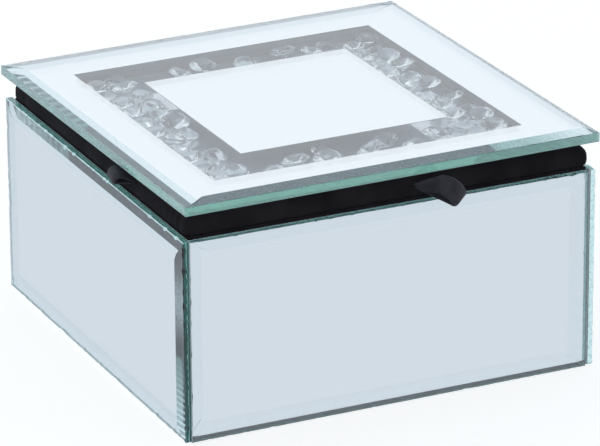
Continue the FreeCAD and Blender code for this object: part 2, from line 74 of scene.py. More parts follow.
PAINTED_GLOW_HEIGHT, PAINTED_GLOW_SPREAD = 13 * MM, 9 * MM       # of the light patch above the ladder, from mid-plate

# Soft goods
VELVET_THICK = 0.8 * MM
SHOULDER = 6.0 * MM          # radius over which the lid's velvet rounds into its top
TOP_HEM = 4.0 * MM
UNDER_HEM = 9.85 * MM
HEM_TOE = 1.2 * MM           # of a wall lining, under the floor pad
BAR_WAVE = 0.05 * MM         # how far its faces are from flat
RIBBON_WIDTH = 9.5
RIBBON_THICK = 0.5
CLOTH_FRAMES = 20
WELD = 0.002 * MM


# ---- shader helpers

def new_material(name):
    """Empty material; returns it and its tree."""
    material = bpy.data.materials.new(name)
    material.use_nodes = True
    material.node_tree.nodes.clear()
    return material, material.node_tree


def add(tree, kind, inputs=None, **settings):
    """New node; an input's value is a number, a colour, or another node's output to link."""
    item = tree.nodes.new(f"ShaderNode{kind}")
    for key, setting in settings.items():
        setattr(item, key, setting)
    for key, given in (inputs or {}).items():
        socket = item.inputs[key]
        if isinstance(given, bpy.types.NodeSocket):
            tree.links.new(given, socket)
        else:
            socket.default_value = given
    return item


def colour(red, green, blue):
    return (red, green, blue, 1.0)


def object_coords(tree):
    return add(tree, "TexCoord").outputs["Object"]


def cloudiness(tree, scale, detail=3.0, roughness=0.5, vector=None):
    """Noise in the object's own coordinates; scale is the size of a feature in millimetres."""
    return add(tree, "TexNoise", {
        "Vector": vector or object_coords(tree),
        "Scale": 1 / (scale * MM),
        "Detail": detail,
        "Roughness": roughness,
    }).outputs["Fac"]


def spread(tree, factor, low, high, start=0.3, end=0.7, way="LINEAR"):
    """Numbers from low to high as the factor goes from start to end."""
    return add(tree, "MapRange", {
        "Value": factor, "From Min": start, "From Max": end, "To Min": low, "To Max": high,
    }, interpolation_type=way).outputs["Result"]


def blend_colours(tree, factor, first, second):
    return add(tree, "Mix", {0: factor, 6: first, 7: second}, data_type="RGBA").outputs[2]


def bump(tree, height, strength, distance, normal=None):
    """Bump of that depth in millimetres."""
    inputs = {"Height": height, "Strength": strength, "Distance": distance * MM}
    if normal is not None:
        inputs["Normal"] = normal
    return add(tree, "Bump", inputs).outputs["Normal"]


def maths(tree, operation, first, second=0.0):
    return add(tree, "Math", {0: first, 1: second}, operation=operation).outputs[0]


def times(tree, first, second):
    return maths(tree, "MULTIPLY", first, second)


def clamped(tree, operation, first, second):
    """The same as maths, kept between 0 and 1."""
    return add(tree, "Math", {0: first, 1: second}, operation=operation, use_clamp=True).outputs[0]


def attribute(tree, name):
    return add(tree, "Attribute", attribute_name=name).outputs["Fac"]


def height_of(tree):
    """Height in metres, in the object's own coordinates."""
    return add(tree, "SeparateXYZ", {0: object_coords(tree)}).outputs["Z"]


def stretched_coords(tree, scale):
    return add(tree, "Mapping", {"Vector": object_coords(tree), "Scale": scale}).outputs["Vector"]


def principled(material, inputs, volume=None):
    """Give the empty material its one surface, and what fills it; returns the material."""
    tree = material.node_tree
    ends = {"Surface": add(tree, "BsdfPrincipled", inputs).outputs["BSDF"]}
    if volume is not None:
        ends["Volume"] = volume
    add(tree, "OutputMaterial", ends)
    return material


# ---- materials

def glass_material(name, ground_roughness, ground_depth, edge_tint, frost_and_painted_light_tint):
    """Clear float glass, green through its thickness; where it is ground it is rough.

    Attributes of the mesh drive it: ground is 1 on ground edges, frost the share of white, or of deep
    green where it is below 0, and rungs marks the bevel in which the ground foot of the plate repeats
    itself as a ladder of light lines. The white share is frosting and painted light together, and the
    deep green is painted shade; the ladder is a painted reflection, with painted shade on the bevel beside
    it.
    """
    material, tree = new_material(name)
    ground = attribute(tree, "ground")
    frost_and_painted_light = attribute(tree, "frost_and_painted_light")
    painted_ladder_reflection = attribute(tree, "painted_ladder_reflection")
    grit = cloudiness(tree, 0.5)
    chips = cloudiness(tree, 2.6, 2.0)

    # Painted reflection: the ground foot seen again in the bevel as a ladder of light lines, whitened into
    # its colour.
    wave = maths(tree, "SINE", times(tree, height_of(tree), 2 * math.pi / RUNG_PITCH))
    ladder = times(tree, maths(tree, "POWER", painted_ladder_reflection, 2.4), spread(tree, wave, 0.0, 1.0, 0.0, 0.6))
    # The white share is frosting on ground edges and painted light, each side given its own share.
    streaky = times(tree, frost_and_painted_light, spread(tree, cloudiness(tree, 1.1), 0.75, 1.1))
    white = clamped(tree, "ADD", maths(tree, "MAXIMUM", streaky, 0.0), ladder)

    edge_share = times(tree, ground, spread(tree, chips, 0.55, 1.0, 0.38, 0.6))
    tinted = blend_colours(tree, edge_share, colour(1, 1, 1), edge_tint)
    # Painted shade: where the share is below 0 the glass turns deep green.
    deep_green_painted_shade = clamped(tree, "MULTIPLY", frost_and_painted_light, -1.0)
    tinted = blend_colours(tree, deep_green_painted_shade, tinted, colour(0.015, 0.08, 0.09))
    slate = blend_colours(tree, 0.18, tinted, colour(0.1, 0.8, 1.0))
    tinted = blend_colours(tree, spread(tree, frost_and_painted_light, 0.0, 1.0, 0.0, 0.25), tinted, slate)
    # Painted shade: the bevel by the painted ladder is dimmed towards a grey teal.
    ladder_painted_shade = maths(tree, "ADD", spread(tree, painted_ladder_reflection, 0.0, 0.4, 0.0, 0.1),
                times(tree, maths(tree, "POWER", painted_ladder_reflection, 2.0), 0.7))
    tinted = blend_colours(tree, ladder_painted_shade, tinted, colour(0.27, 0.36, 0.4))

    waviness = bump(tree, cloudiness(tree, 60.0, 1.0), 0.05, 0.02)
    relief = times(tree, ground, maths(tree, "ADD", times(tree, grit, 0.25), chips))
    depth = add(tree, "VolumeAbsorption", {"Color": colour(0.30, 0.84, 0.64), "Density": GREEN_DENSITY})
    return principled(material, {
        "Base Color": blend_colours(tree, white, tinted, frost_and_painted_light_tint),
        "Roughness": times(tree, ground, spread(tree, grit, 0.5 * ground_roughness, ground_roughness)),
        "IOR": 1.52,
        "Transmission Weight": maths(tree, "SUBTRACT", 1.0, white),
        "Normal": bump(tree, relief, 1.0, ground_depth, waviness),
    }, depth.outputs["Volume"])


def silver_material(name, outward, tint=colour(0.92, 0.925, 0.93), paint=0.42, foot=-1.0,
                    rim=None, shine=1.0):
    """Mirror silvering on the face that looks outward, and protective grey paint on the rest.

    Below the foot, a height in millimetres, the silver gives way to the grey paint, a band of painted shade.
    rim is the colour of its narrow sides, where that is not the paint's, and shine how metallic the mirror
    is.
    """
    material, tree = new_material(name)
    facing = add(tree, "VectorMath", {0: add(tree, "TexCoord").outputs["Normal"], 1: outward},
                 operation="DOT_PRODUCT").outputs["Value"]
    # Painted shade: below the foot the grey paint shows instead of the mirror.
    clear = maths(tree, "GREATER_THAN", height_of(tree), foot * MM)
    mirrored = times(tree, maths(tree, "GREATER_THAN", facing, 0.5), clear)
    streaks = cloudiness(tree, 9.0, 5.0, 0.6)
    grey = blend_colours(tree, streaks, colour(0.8 * paint, 0.81 * paint, 0.84 * paint),
                         colour(1.2 * paint, 1.21 * paint, 1.25 * paint))
    bright = blend_colours(tree, cloudiness(tree, 45.0, 2.0), tint, colour(*(0.99 * t for t in tint[:3])))
    if rim:
        sideways = maths(tree, "LESS_THAN", maths(tree, "ABSOLUTE", facing), 0.5)
        grey = blend_colours(tree, sideways, grey, rim)
    matt = maths(tree, "SUBTRACT", 1.0, mirrored)
    return principled(material, {
        "Base Color": blend_colours(tree, mirrored, grey, bright),
        "Metallic": times(tree, mirrored, shine),
        "Roughness": times(tree, matt, spread(tree, streaks, 0.45, 0.7)),
    })


def velvet_material():
    """Deep black pile, brushed a little lighter in patches, with a few specks of lint."""
    material, tree = new_material("black_velvet")
    pile = cloudiness(tree, 0.45, 5.0, 0.7)
    brushed = cloudiness(tree, 14.0)
    shade = blend_colours(tree, spread(tree, brushed, 0.0, 1.0, 0.35, 0.75),
                          colour(0.0085, 0.0075, 0.0085), colour(0.0185, 0.0165, 0.018))
    specks = add(tree, "TexVoronoi", {"Vector": object_coords(tree), "Scale": 1 / (7 * MM)})
    lint = maths(tree, "LESS_THAN", specks.outputs["Distance"], 0.032)
    return principled(material, {
        "Base Color": blend_colours(tree, lint, shade, colour(0.2, 0.2, 0.2)),
        "Roughness": spread(tree, pile, 0.8, 1.0),
        "Specular IOR Level": 0.06,
        "Sheen Weight": 0.05,
        "Sheen Roughness": 0.4,
        "Sheen Tint": colour(0.85, 0.85, 0.95),
        "Normal": bump(tree, pile, 0.5, 0.25),
    })


def ribbon_material():
    """Black satin ribbon: fine warp along its length, cross ribs and small slubs."""
    material, tree = new_material("black_satin_ribbon")
    warp_pitch, weft_pitch = 0.32, 0.45      # in millimetres, as the two attributes are
    warp = maths(tree, "SINE", times(tree, attribute(tree, "across"), 2 * math.pi / warp_pitch))
    weft = maths(tree, "SINE", times(tree, attribute(tree, "along"), 2 * math.pi / weft_pitch))
    threads = maths(tree, "ADD", warp, times(tree, weft, 0.6))
    slub = cloudiness(tree, 3.0, 4.0)
    shade = blend_colours(tree, spread(tree, slub, 0.0, 1.0), colour(0.019, 0.0175, 0.022),
                          colour(0.034, 0.0315, 0.039))
    return principled(material, {
        "Base Color": shade,
        "Roughness": spread(tree, slub, 0.42, 0.6),
        "Specular IOR Level": 0.22,
        "Sheen Weight": 0.05,
        "Sheen Roughness": 0.35,
        "Sheen Tint": colour(0.8, 0.78, 0.9),
        "Normal": bump(tree, threads, 0.35, 0.05),
    })


def felt_material():
    """Black pressed felt, fuzzy and quite matt."""
    material, tree = new_material("black_felt")
    fibres = cloudiness(tree, 0.8, 8.0, 0.75)
    shade = blend_colours(tree, fibres, colour(0.008, 0.008, 0.009), colour(0.035, 0.035, 0.038))
    return principled(material, {
        "Base Color": shade,
        "Roughness": 1.0,
        "Specular IOR Level": 0.1,
        "Sheen Weight": 0.2,
        "Sheen Roughness": 0.6,
        "Normal": bump(tree, fibres, 0.9, 0.4),
    })


def board_material():
    """Fibreboard: pressed fibres and a few dark flecks."""
    material, tree = new_material("fibreboard")
    fibres = cloudiness(tree, 1.2, 8.0, 0.8)
    flecks = spread(tree, cloudiness(tree, 0.5, 2.0), 0.0, 0.7, 0.66, 0.72)
    wood = blend_colours(tree, spread(tree, fibres, 0.0, 1.0), colour(0.28, 0.19, 0.11),
                         colour(0.42, 0.31, 0.2))
    return principled(material, {
        "Base Color": blend_colours(tree, flecks, wood, colour(0.112, 0.076, 0.044)),
        "Roughness": spread(tree, fibres, 0.7, 0.9),
        "Normal": bump(tree, fibres, 0.4, 0.12),
    })


def rail_material(low, high):
    """Paper-faced rails: grey above, a brownish band where raw card shows, and a pale glue line.

    low and high are the heights of the tray's floor and of the rails' top.
    """
    material, tree = new_material("tray_paper")
    height = height_of(tree)
    streaks = cloudiness(tree, 0.7, 3.0, 0.6, stretched_coords(tree, (0.08, 0.08, 1)))
    middle = low + 0.48 * (high - low)
    grey = blend_colours(tree, streaks, colour(0.27, 0.28, 0.3), colour(0.42, 0.43, 0.46))
    brown = blend_colours(tree, streaks, colour(0.4, 0.34, 0.32), colour(0.52, 0.46, 0.44))
    upper = spread(tree, height, 0.0, 1.0, middle - 0.1 * MM, middle + 0.1 * MM)
    glue = maths(tree, "LESS_THAN", height, low + 0.35 * MM)
    banded = blend_colours(tree, upper, brown, grey)
    return principled(material, {
        "Base Color": blend_colours(tree, glue, banded, colour(0.7, 0.7, 0.7)),
        "Roughness": spread(tree, streaks, 0.55, 0.8),
        "Normal": bump(tree, streaks, 0.3, 0.08),
    })


def steel_material(name, tone, grain):
    """Nickel-plated steel with fine brushed lines along X and a duller patina in patches."""
    material, tree = new_material(name)
    lines = cloudiness(tree, grain, 3.0, 0.6, stretched_coords(tree, (0.06, 1, 1)))
    patina = cloudiness(tree, 5.0, 4.0)
    return principled(material, {
        "Base Color": blend_colours(tree, patina, colour(*(0.78 * t for t in tone)), colour(*tone)),
        "Metallic": 1.0,
        "Roughness": spread(tree, lines, 0.2, 0.42),
        "Normal": bump(tree, lines, 0.3, 0.03),
    })


def crystal_material():
    """Clear moulded acrylic with slightly soft facets."""
    material, tree = new_material("cut_acrylic")
    wear = cloudiness(tree, 2.5)
    return principled(material, {
        "Base Color": blend_colours(tree, wear, colour(1, 1, 1), colour(0.985, 0.99, 1.0)),
        "Roughness": spread(tree, wear, 0.0, 0.05, 0.45, 0.8),
        "IOR": 1.5,
        "Transmission Weight": 1.0,
        "Normal": bump(tree, wear, 0.15, 0.05),
    })


def floor_material():
    """White light table: bright to the eye, a cool light grey in the mirrors."""
    material, tree = new_material("white_table")
    mottling = cloudiness(tree, 300.0, 2.0)
    seen = add(tree, "LightPath").outputs["Is Camera Ray"]
    top = add(tree, "BsdfPrincipled", {
        "Base Color": blend_colours(tree, mottling, colour(0.33, 0.33, 0.33), colour(0.35, 0.35, 0.35)),
        "Roughness": 0.9,
        "Specular IOR Level": 0.1,
        "Emission Color": colour(1, 1, 1),
        "Emission Strength": 0.78,
    }).outputs["BSDF"]
    glow = add(tree, "Emission", {"Color": colour(0.735, 0.785, 0.865), "Strength": 1.0}).outputs["Emission"]
    add(tree, "OutputMaterial", {"Surface": add(tree, "MixShader", {0: seen, 1: glow, 2: top}).outputs[0]})
    return material


# ---- mesh helpers

def as_object(name, mesh, material, body, smooth):
    """Link the mesh as a piece that rides on its CAD body."""
    piece = bpy.data.objects.new(name, mesh)
    bpy.context.scene.collection.objects.link(piece)
    mesh.materials.append(material)
    mesh.polygons.foreach_set("use_smooth", [smooth] * len(mesh.polygons))
    if body:
        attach(piece, body)
    return piece


def solid(name, points, faces, material, body, smooth=False):
    """Piece from points and faces, its normals turned outward."""
    mesh = bpy.data.meshes.new(name)
    mesh.from_pydata(points, [], faces)
    turn_outward(mesh)
    return as_object(name, mesh, material, body, smooth)


def turn_outward(mesh):
    form = bmesh.new()
    form.from_mesh(mesh)
    bmesh.ops.recalc_face_normals(form, faces=form.faces)
    form.to_mesh(mesh)
    form.free()


def loft_faces(rings, count, closed):
    """Quads between successive rings of points; the ends are capped unless the loft closes on itself."""
    faces = []
    spans = rings if closed else rings - 1
    for ring in range(spans):
        this, other = ring * count, (ring + 1) % rings * count
        for step in range(count):
            following = (step + 1) % count
            faces.append((this + step, this + following, other + following, other + step))
    if not closed:
        faces.append(tuple(range(count)))
        faces.append(tuple(range((rings - 1) * count, rings * count)))
    return faces


def set_attribute(mesh, name, values):
    layer = mesh.attributes.new(name, "FLOAT", "POINT")
    layer.data.foreach_set("value", values)


def ripple(x, y, z, size, seed):
    """Smooth noise from -1 to 1 at a place in metres; size is in millimetres."""
    scale = 1 / (size * MM)
    return noise.noise(Vector((x * scale + seed, y * scale + 3.1 * seed, z * scale - seed)))


# ---- bevelled glass

def outline(half_x, half_y, inset, counts, flare=(0.0, 1.0), flare_last=False):
    """Points round a rectangle, anticlockwise from its lower left corner.

    flare is how far, and along what length, the line runs on past each corner, as a hand-held
    bevel does where two grinding passes meet.
    """
    a, b = half_x - inset, half_y - inset
    corners = [Vector((-a, -b)), Vector((a, -b)), Vector((a, b)), Vector((-a, b))]
    reach, run = flare
    points = []
    for side in range(4):
        start, end = corners[side], corners[(side + 1) % 4]
        along = (end - start).normalized()
        out = Vector((along.y, -along.x))
        length = (end - start).length
        for step in range(counts[side]):
            distance = length * step / counts[side]
            gap = length - distance if flare_last else distance
            lift = reach * max(0.0, 1 - gap / run) ** 1.5
            point = start + along * distance + out * lift
            if flare_last and step == 0:
                before = (corners[side] - corners[side - 1]).normalized()
                point = start + Vector((before.y, -before.x)) * reach
            points.append(point)
    return points


class Plate:
    """Shape and place of a bevelled plate; lengths are in metres, its back is at its own height 0."""

    def __init__(self, node, place, half_x, half_y, thick, edge, flare, flare_last, body, slot, step):
        self.node = node                # the CAD solid that it stands for
        self.place = place
        self.half_x, self.half_y = half_x, half_y
        self.thick = thick
        self.edge = edge                # thickness left under the bevel
        self.flare = flare              # see outline
        self.flare_last = flare_last
        self.body, self.slot = body, slot
        self.counts = [max(2, round(2 * half / step)) for half in (half_x, half_y)] * 2
        self.sides = [side for side in range(4) for _ in range(self.counts[side])]

    def round_it(self, inset=0.0, **flare):
        """Points of its outline and the side that each is on."""
        return zip(outline(self.half_x, self.half_y, inset, self.counts, **flare), self.sides)


def bevelled_glass(name, plate, material, seed, seam_width, chip_depth, edge_frost_and_painted_light, seam_frost_and_painted_light, haze_and_painted_light,
                   foot_seam, foot_frost_and_painted_light, crack_frost_and_painted_light=None, ladder_side=None):
    """Glass plate whose face is ground to a bevel all round; its edges are cut and ground.

    It is a loft of rings from its back, which reaches a hair into the silvering, round its edge
    to its face. The front arris is rubbed to seam_width and chipped to chip_depth, the back one is
    foot_seam wide, all in millimetres. Frost goes from 0, clear, to 1, white; below 0 the glass
    is deep green. Every such value is frosting and painted light together: each side gets its own,
    whiter where that side takes the light, and deep green, painted shade, where it is in shadow.
    The four values are for the plate's own -y, +x, +y and -x sides; haze is the bevels', painted
    light too, crack_frost_and_painted_light that of the line where the glass was snapped, if it isn't the
    edge's.
    """
    slope = (plate.thick - plate.edge) / BEVEL
    points, ground, frost_and_painted_light = [], [], []

    def inward(side):
        return Vector(((0, -1), (1, 0), (0, 1), (-1, 0))[side])

    def chipped(at):
        """How much is gone from the edge there, and how wide the rubbed arris is."""
        nick = max(0.0, ripple(at.x, at.y, 0.0, 2.6, seed) - 0.12)
        seam = seam_width * MM * (1 + 0.5 * ripple(at.x, at.y, 0.0, 9.0, 2.0))
        return nick, seam + chip_depth * MM * nick

    def add_point(at, height, is_ground, white):
        points.append((*at, height))
        ground.append(is_ground)
        frost_and_painted_light.append(white)

    def edge_ring(height, white, inset=0.0, is_ground=1.0, zigzag=0.0, to_seam=False):
        """Ring on the cut edge; to_seam stops it short of the face by the arris's own width."""
        for at, side in plate.round_it(inset):
            nick, seam = chipped(at)
            level = height - (seam if to_seam else 0.0)
            level += zigzag * ripple(at.x, at.y, 0.0, CRACK_SIZE, seed)
            pull = Vector((math.copysign(1, at.x) * (abs(at.x) > plate.half_x - 1e-6),
                           math.copysign(1, at.y) * (abs(at.y) > plate.half_y - 1e-6)))
            add_point(at - pull * chip_depth * MM * 0.12 * nick, level, is_ground, white[side])

    def seam_ring(white, is_ground, worn=1.0):
        """Ring on the face along the inner line of the arris."""
        for at, side in plate.round_it():
            seam = chipped(at)[1]
            add_point(at - inward(side) * (worn * seam), plate.edge + slope * seam, is_ground, white[side])

    def face_ring(inset, white):
        for at, side in plate.round_it(inset, flare=plate.flare, flare_last=plate.flare_last):
            add_point(at, plate.thick, 0.0, white[side])

    clear = (0.0,) * 4
    crack_frost_and_painted_light = crack_frost_and_painted_light or edge_frost_and_painted_light
    foot = foot_seam * MM
    crack = 0.36 * plate.edge
    shallow, wide = 0.14 * plate.edge, 0.22 * plate.edge
    edge_ring(-EMBEDDED, clear, inset=foot + HAIR, is_ground=0.0)
    edge_ring(-EMBEDDED, foot_frost_and_painted_light, inset=foot)
    edge_ring(foot, foot_frost_and_painted_light)
    edge_ring(foot + HAIR, edge_frost_and_painted_light)
    edge_ring(crack, edge_frost_and_painted_light, zigzag=shallow)
    edge_ring(crack + HAIR, crack_frost_and_painted_light, zigzag=shallow)
    edge_ring(crack + 7 * HAIR, crack_frost_and_painted_light, zigzag=wide)
    edge_ring(crack + 8 * HAIR, edge_frost_and_painted_light, zigzag=wide)
    edge_ring(0.66 * plate.edge, edge_frost_and_painted_light)
    edge_ring(plate.edge - HAIR, edge_frost_and_painted_light, to_seam=True)
    edge_ring(plate.edge, seam_frost_and_painted_light, to_seam=True)
    seam_ring(seam_frost_and_painted_light, 1.0)
    seam_ring(haze_and_painted_light, 0.0, worn=1.0 + HAIR / (seam_width * MM))
    face_ring(BEVEL, haze_and_painted_light)
    face_ring(BEVEL + 3 * HAIR, clear)
    painted_ladder_reflection = painted_ladder_marks(plate, ladder_side, points, frost_and_painted_light)

    count = sum(plate.counts)
    placed = [plate.place @ Vector(point) for point in points]
    faces = loft_faces(len(points) // count, count, False)
    piece = solid(name, placed, faces, material, plate.body)
    set_attribute(piece.data, "ground", ground)
    set_attribute(piece.data, "frost_and_painted_light", frost_and_painted_light)
    set_attribute(piece.data, "painted_ladder_reflection", painted_ladder_reflection)
    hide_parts(plate.node)


def painted_ladder_marks(plate, ladder_side, points, frost_and_painted_light):
    """Strength of the ladder at each point of a plate, a painted reflection; above the ladder the bevel is
    whitened too, a patch of painted light.

    The ladder is on the seam's and the bevel's rings, which come before the last one.
    """
    painted_ladder_reflection = [0.0] * len(points)
    if ladder_side is None:
        return painted_ladder_reflection
    count = sum(plate.counts)
    for number in range(len(points) - 4 * count, len(points) - count):
        if plate.sides[number % count] == ladder_side:
            along = points[number][1]
            painted_ladder_reflection[number] = max(0.0, 1 - (along + plate.half_y) / LADDER_HEIGHT) ** 0.9
            if number >= len(points) - 3 * count:
                # Painted light: a patch of white on the bevel above the ladder.
                frost_and_painted_light[number] += 0.3 * math.exp(-((along - PAINTED_GLOW_HEIGHT) / PAINTED_GLOW_SPREAD) ** 2)
    return painted_ladder_reflection


# Frosting and painted light of each wall mirror, side by side: whiter on sides that take the light, deep
# green painted shade below 0.
WALL_FINISHES = {
    "front": dict(
        seed=3.1, seam_width=0.16, chip_depth=0.5, edge_frost_and_painted_light=(0.05, 0.1, 0.1, -0.5),
        seam_frost_and_painted_light=(0.1, 0.5, 0.1, 0.1), haze_and_painted_light=(0.05,) * 4, foot_seam=0.5, foot_frost_and_painted_light=(0.1, 0.3, 0.8, 0.1)),
    "back": dict(
        seed=5.7, seam_width=0.16, chip_depth=0.5, edge_frost_and_painted_light=(0.1, 0.1, 0.12, 0.1),
        seam_frost_and_painted_light=(0.7, 0.7, 0.9, 0.7), haze_and_painted_light=(0.16,) * 4, foot_seam=0.3, foot_frost_and_painted_light=(0.3, 0.3, 0.6, 0.3)),
    "left": dict(
        seed=8.3, seam_width=0.24, chip_depth=1.5, edge_frost_and_painted_light=(1.0, -1.0, 0.12, 0.2),
        seam_frost_and_painted_light=(1.0, 0.0, 1.0, 0.9), haze_and_painted_light=(0.12, 0.12, 0.12, 0.1), foot_seam=0.12,
        foot_frost_and_painted_light=(1.0, 0.05, 0.2, 0.3), crack_frost_and_painted_light=(0.6, 0.55, 0.5, 0.2), ladder_side=1),
    "right": dict(
        seed=2.9, seam_width=0.24, chip_depth=1.2, edge_frost_and_painted_light=(0.1, 0.2, 0.15, 1.0),
        seam_frost_and_painted_light=(0.7, 0.7, 1.0, 1.0), haze_and_painted_light=(0.15,) * 4, foot_seam=0.3, foot_frost_and_painted_light=(0.1, 0.1, 0.2, -0.8)),
}
LID_FINISH = dict(
    seed=1.7, seam_width=0.1, chip_depth=0.1, edge_frost_and_painted_light=(0.14, 0.6, 0.6, 0.33),
    seam_frost_and_painted_light=(0.15, 1.0, 1.0, 0.5), haze_and_painted_light=(0.3, 0.0, 0.0, 0.26), foot_seam=0.14,
    foot_frost_and_painted_light=(0.3, 1.0, 1.0, 0.95))


def wall_glasses(material):
    """The four wall mirrors' glass, each stood upright against its silvering."""
    yaws = {"front": 0, "back": 180, "left": -90, "right": 90}
    for side, yaw in yaws.items():
        low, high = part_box(f"{side}_mirror_glass")
        long_way = high.x - low.x if side in ("front", "back") else high.y - low.y
        turn = Matrix.Rotation(math.radians(yaw), 4, "Z")
        outward = turn @ Vector((0, -1, 0))
        thick = abs((high - low).dot(outward))
        back = (low + high) / 2 - outward * thick / 2
        proud = 0.0 if side == "back" else WALL_PROUD
        trim = SIDE_TRIM if side in ("front", "back") else 0.0
        plate = Plate(
            f"{side}_mirror_glass", Matrix.Translation(back) @ turn @ Matrix.Rotation(math.pi / 2, 4, "X"),
            long_way / 2 - trim, (high.z - low.z) / 2, thick + proud, WALL_EDGE + proud,
            WALL_FLARE, True, "base", "wall_glass", WALL_STEP)
        bevelled_glass(f"{side}_bevelled_glass", plate, material, **WALL_FINISHES[side])


def lid_glass(material):
    """The lid's glass plate, glued on a little askew."""
    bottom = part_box("lid_glass_plate")[0].z
    plate = Plate(
        "lid_glass_plate", Matrix.Translation((0, 0, bottom)) @ Matrix.Rotation(LID_SKEW, 4, "Z"),
        LID_SIDE / 2, LID_SIDE / 2, LID_THICK, LID_EDGE, LID_FLARE, False, "lid", "plate_glass", LID_STEP)
    bevelled_glass("lid_bevelled_glass", plate, material, **LID_FINISH)


# ---- crystals

CULET_CORNERS = 8
STONE_CLEARANCE = 0.985      # its size next to the CAD's stone, so that none touch
STONE_RINGS = (              # corners, diameter, height, turn in steps; from the culet to the table
    (CULET_CORNERS, 0.06, 0.0, 0.0),
    (8, 0.52, 0.135, 0.5),
    (16, 1.0, 0.272, 0.0),
    (16, 1.0, 0.305, 0.0),
    (8, 0.80, 0.395, 0.5),
    (8, 0.56, 0.46, 0.0),
)


def stone_points():
    """Corners of a round brilliant of diameter 1, culet down at height 0."""
    points = []
    for count, diameter, height, shift in STONE_RINGS:
        radius = diameter / 2
        for step in range(count):
            turn = 2 * math.pi * (step + shift) / count
            points.append(Vector((radius * math.cos(turn), radius * math.sin(turn), height)))
    return points


def loose_parts(mesh):
    """Corner points of each separate shell of a mesh."""
    form = bmesh.new()
    form.from_mesh(mesh)
    bmesh.ops.remove_doubles(form, verts=form.verts, dist=WELD)
    waiting = set(form.verts)
    parts = []
    while waiting:
        queue = [waiting.pop()]
        found = []
        while queue:
            corner = queue.pop()
            found.append(corner.co.copy())
            for edge in corner.link_edges:
                other = edge.other_vert(corner)
                if other in waiting:
                    waiting.remove(other)
                    queue.append(other)
        parts.append(sorted(found, key=tuple))
    form.free()
    return sorted(parts, key=lambda part: tuple(part[0]))


def stone_frame(corners):
    """Place, axis and size of one CAD stone, from its corners: the culet is the tight ring."""
    def nearness(corner):
        return sum(sorted((corner - other).length for other in corners)[:CULET_CORNERS])

    tight = sorted(corners, key=nearness)[:CULET_CORNERS]
    culet = sum(tight, Vector()) / CULET_CORNERS
    axis = (sum(corners, Vector()) / len(corners) - culet).normalized()

    def spoke(corner):
        out = corner - culet
        return out - axis * out.dot(axis)

    widest = max((spoke(corner) for corner in corners), key=lambda out: out.length)
    across = widest.normalized()
    turn = Matrix((across, axis.cross(across), axis)).transposed().to_4x4()
    return Matrix.Translation(culet) @ turn @ Matrix.Scale(2 * widest.length, 4)


def crystals(material):
    """Cut stones where the CAD's loose stones lie, each with all its facets."""
    shape = stone_points()
    form = bmesh.new()
    for corners in loose_parts(NODES["crystals"].data):
        place = stone_frame(corners)
        made = [form.verts.new(place @ (point * STONE_CLEARANCE)) for point in shape]
        bmesh.ops.convex_hull(form, input=made, use_existing_faces=False)
    bmesh.ops.recalc_face_normals(form, faces=form.faces)
    mesh = bpy.data.meshes.new("cut_crystals")
    form.to_mesh(mesh)
    form.free()
    piece = as_object("cut_crystals", mesh, material, "lid", False)
    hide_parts("crystals")


# ---- velvet

def square_ring(half, corner, level, count, arc):
    """Points round a square with rounded corners, anticlockwise, with their distance along its side."""
    points = []
    reach = half - corner
    for side in range(4):
        turn = Matrix.Rotation(math.pi / 2 * side, 3, "Z")
        for step in range(count):
            along = -reach + 2 * reach * step / count
            points.append((turn @ Vector((along, -half, level)), along, side))
        for step in range(arc):
            angle = -math.pi / 2 + math.pi / 2 * step / arc
            x, y = reach + corner * math.cos(angle), -reach + corner * math.sin(angle)
            points.append((turn @ Vector((x, y, level)), reach, side))
    return points


def pleats(along, reach, side):
    """Height from 0 of the gathers near a corner of the drawn velvet, four on each side of it."""
    total = 0.0
    for end in (-1, 1):
        for number in range(4):
            spot = reach - (3.0 + 4.3 * number + 1.1 * math.sin(5 * side + 3 * number + end)) * MM
            width = (0.9 + 0.25 * number) * MM
            total += math.exp(-((along - end * spot) / width) ** 2) * (1 - 0.2 * number)
    return total


def drawn_velvet_profile(half, under, top):
    """Section of the lid's velvet as (distance out, level, how soft), from its lower hem round.

    It goes out along the hem, up the outside, over the shoulder to the upper hem, and back inside.
    """
    inner = half - VELVET_THICK
    centre = top - SHOULDER
    mouth = inner - SHOULDER - TOP_HEM
    slack = 0.02 * MM
    profile = [
        (inner - UNDER_HEM, under + 0.35 * MM, 0.0),
        (inner - UNDER_HEM, under + 0.1 * MM, 0.0),
        (half - 2.5 * MM, under, 0.0),
        (half - 0.5 * MM, under + 0.03 * MM, 0.2),
        (half - 0.08 * MM, under + 0.3 * MM, 0.5),
        (half, under + 0.9 * MM, 0.8),
        (half, under + 1.8 * MM, 1.0),
    ]
    arc = 8
    for step in range(1, arc + 1):
        angle = math.pi / 2 * step / arc
        profile.append((half - SHOULDER + SHOULDER * math.cos(angle),
                        centre + SHOULDER * math.sin(angle), math.cos(angle * 0.9)))
    profile += [
        (mouth + 0.4 * MM, top, 0.0),
        (mouth, top - 0.4 * MM, 0.0),
        (mouth + 0.2 * MM, top - VELVET_THICK + slack, 0.0),
    ]
    inside = SHOULDER - VELVET_THICK
    for step in range(arc, -1, -2):
        angle = math.pi / 2 * step / arc
        profile.append((half - SHOULDER + inside * math.cos(angle) + slack,
                        centre + inside * math.sin(angle) + slack, 0.0))
    profile.append((inner + slack, under + 0.72 * MM, 0.0))
    profile.append((inner - UNDER_HEM + 0.05 * MM, under + 0.68 * MM, 0.0))
    return profile


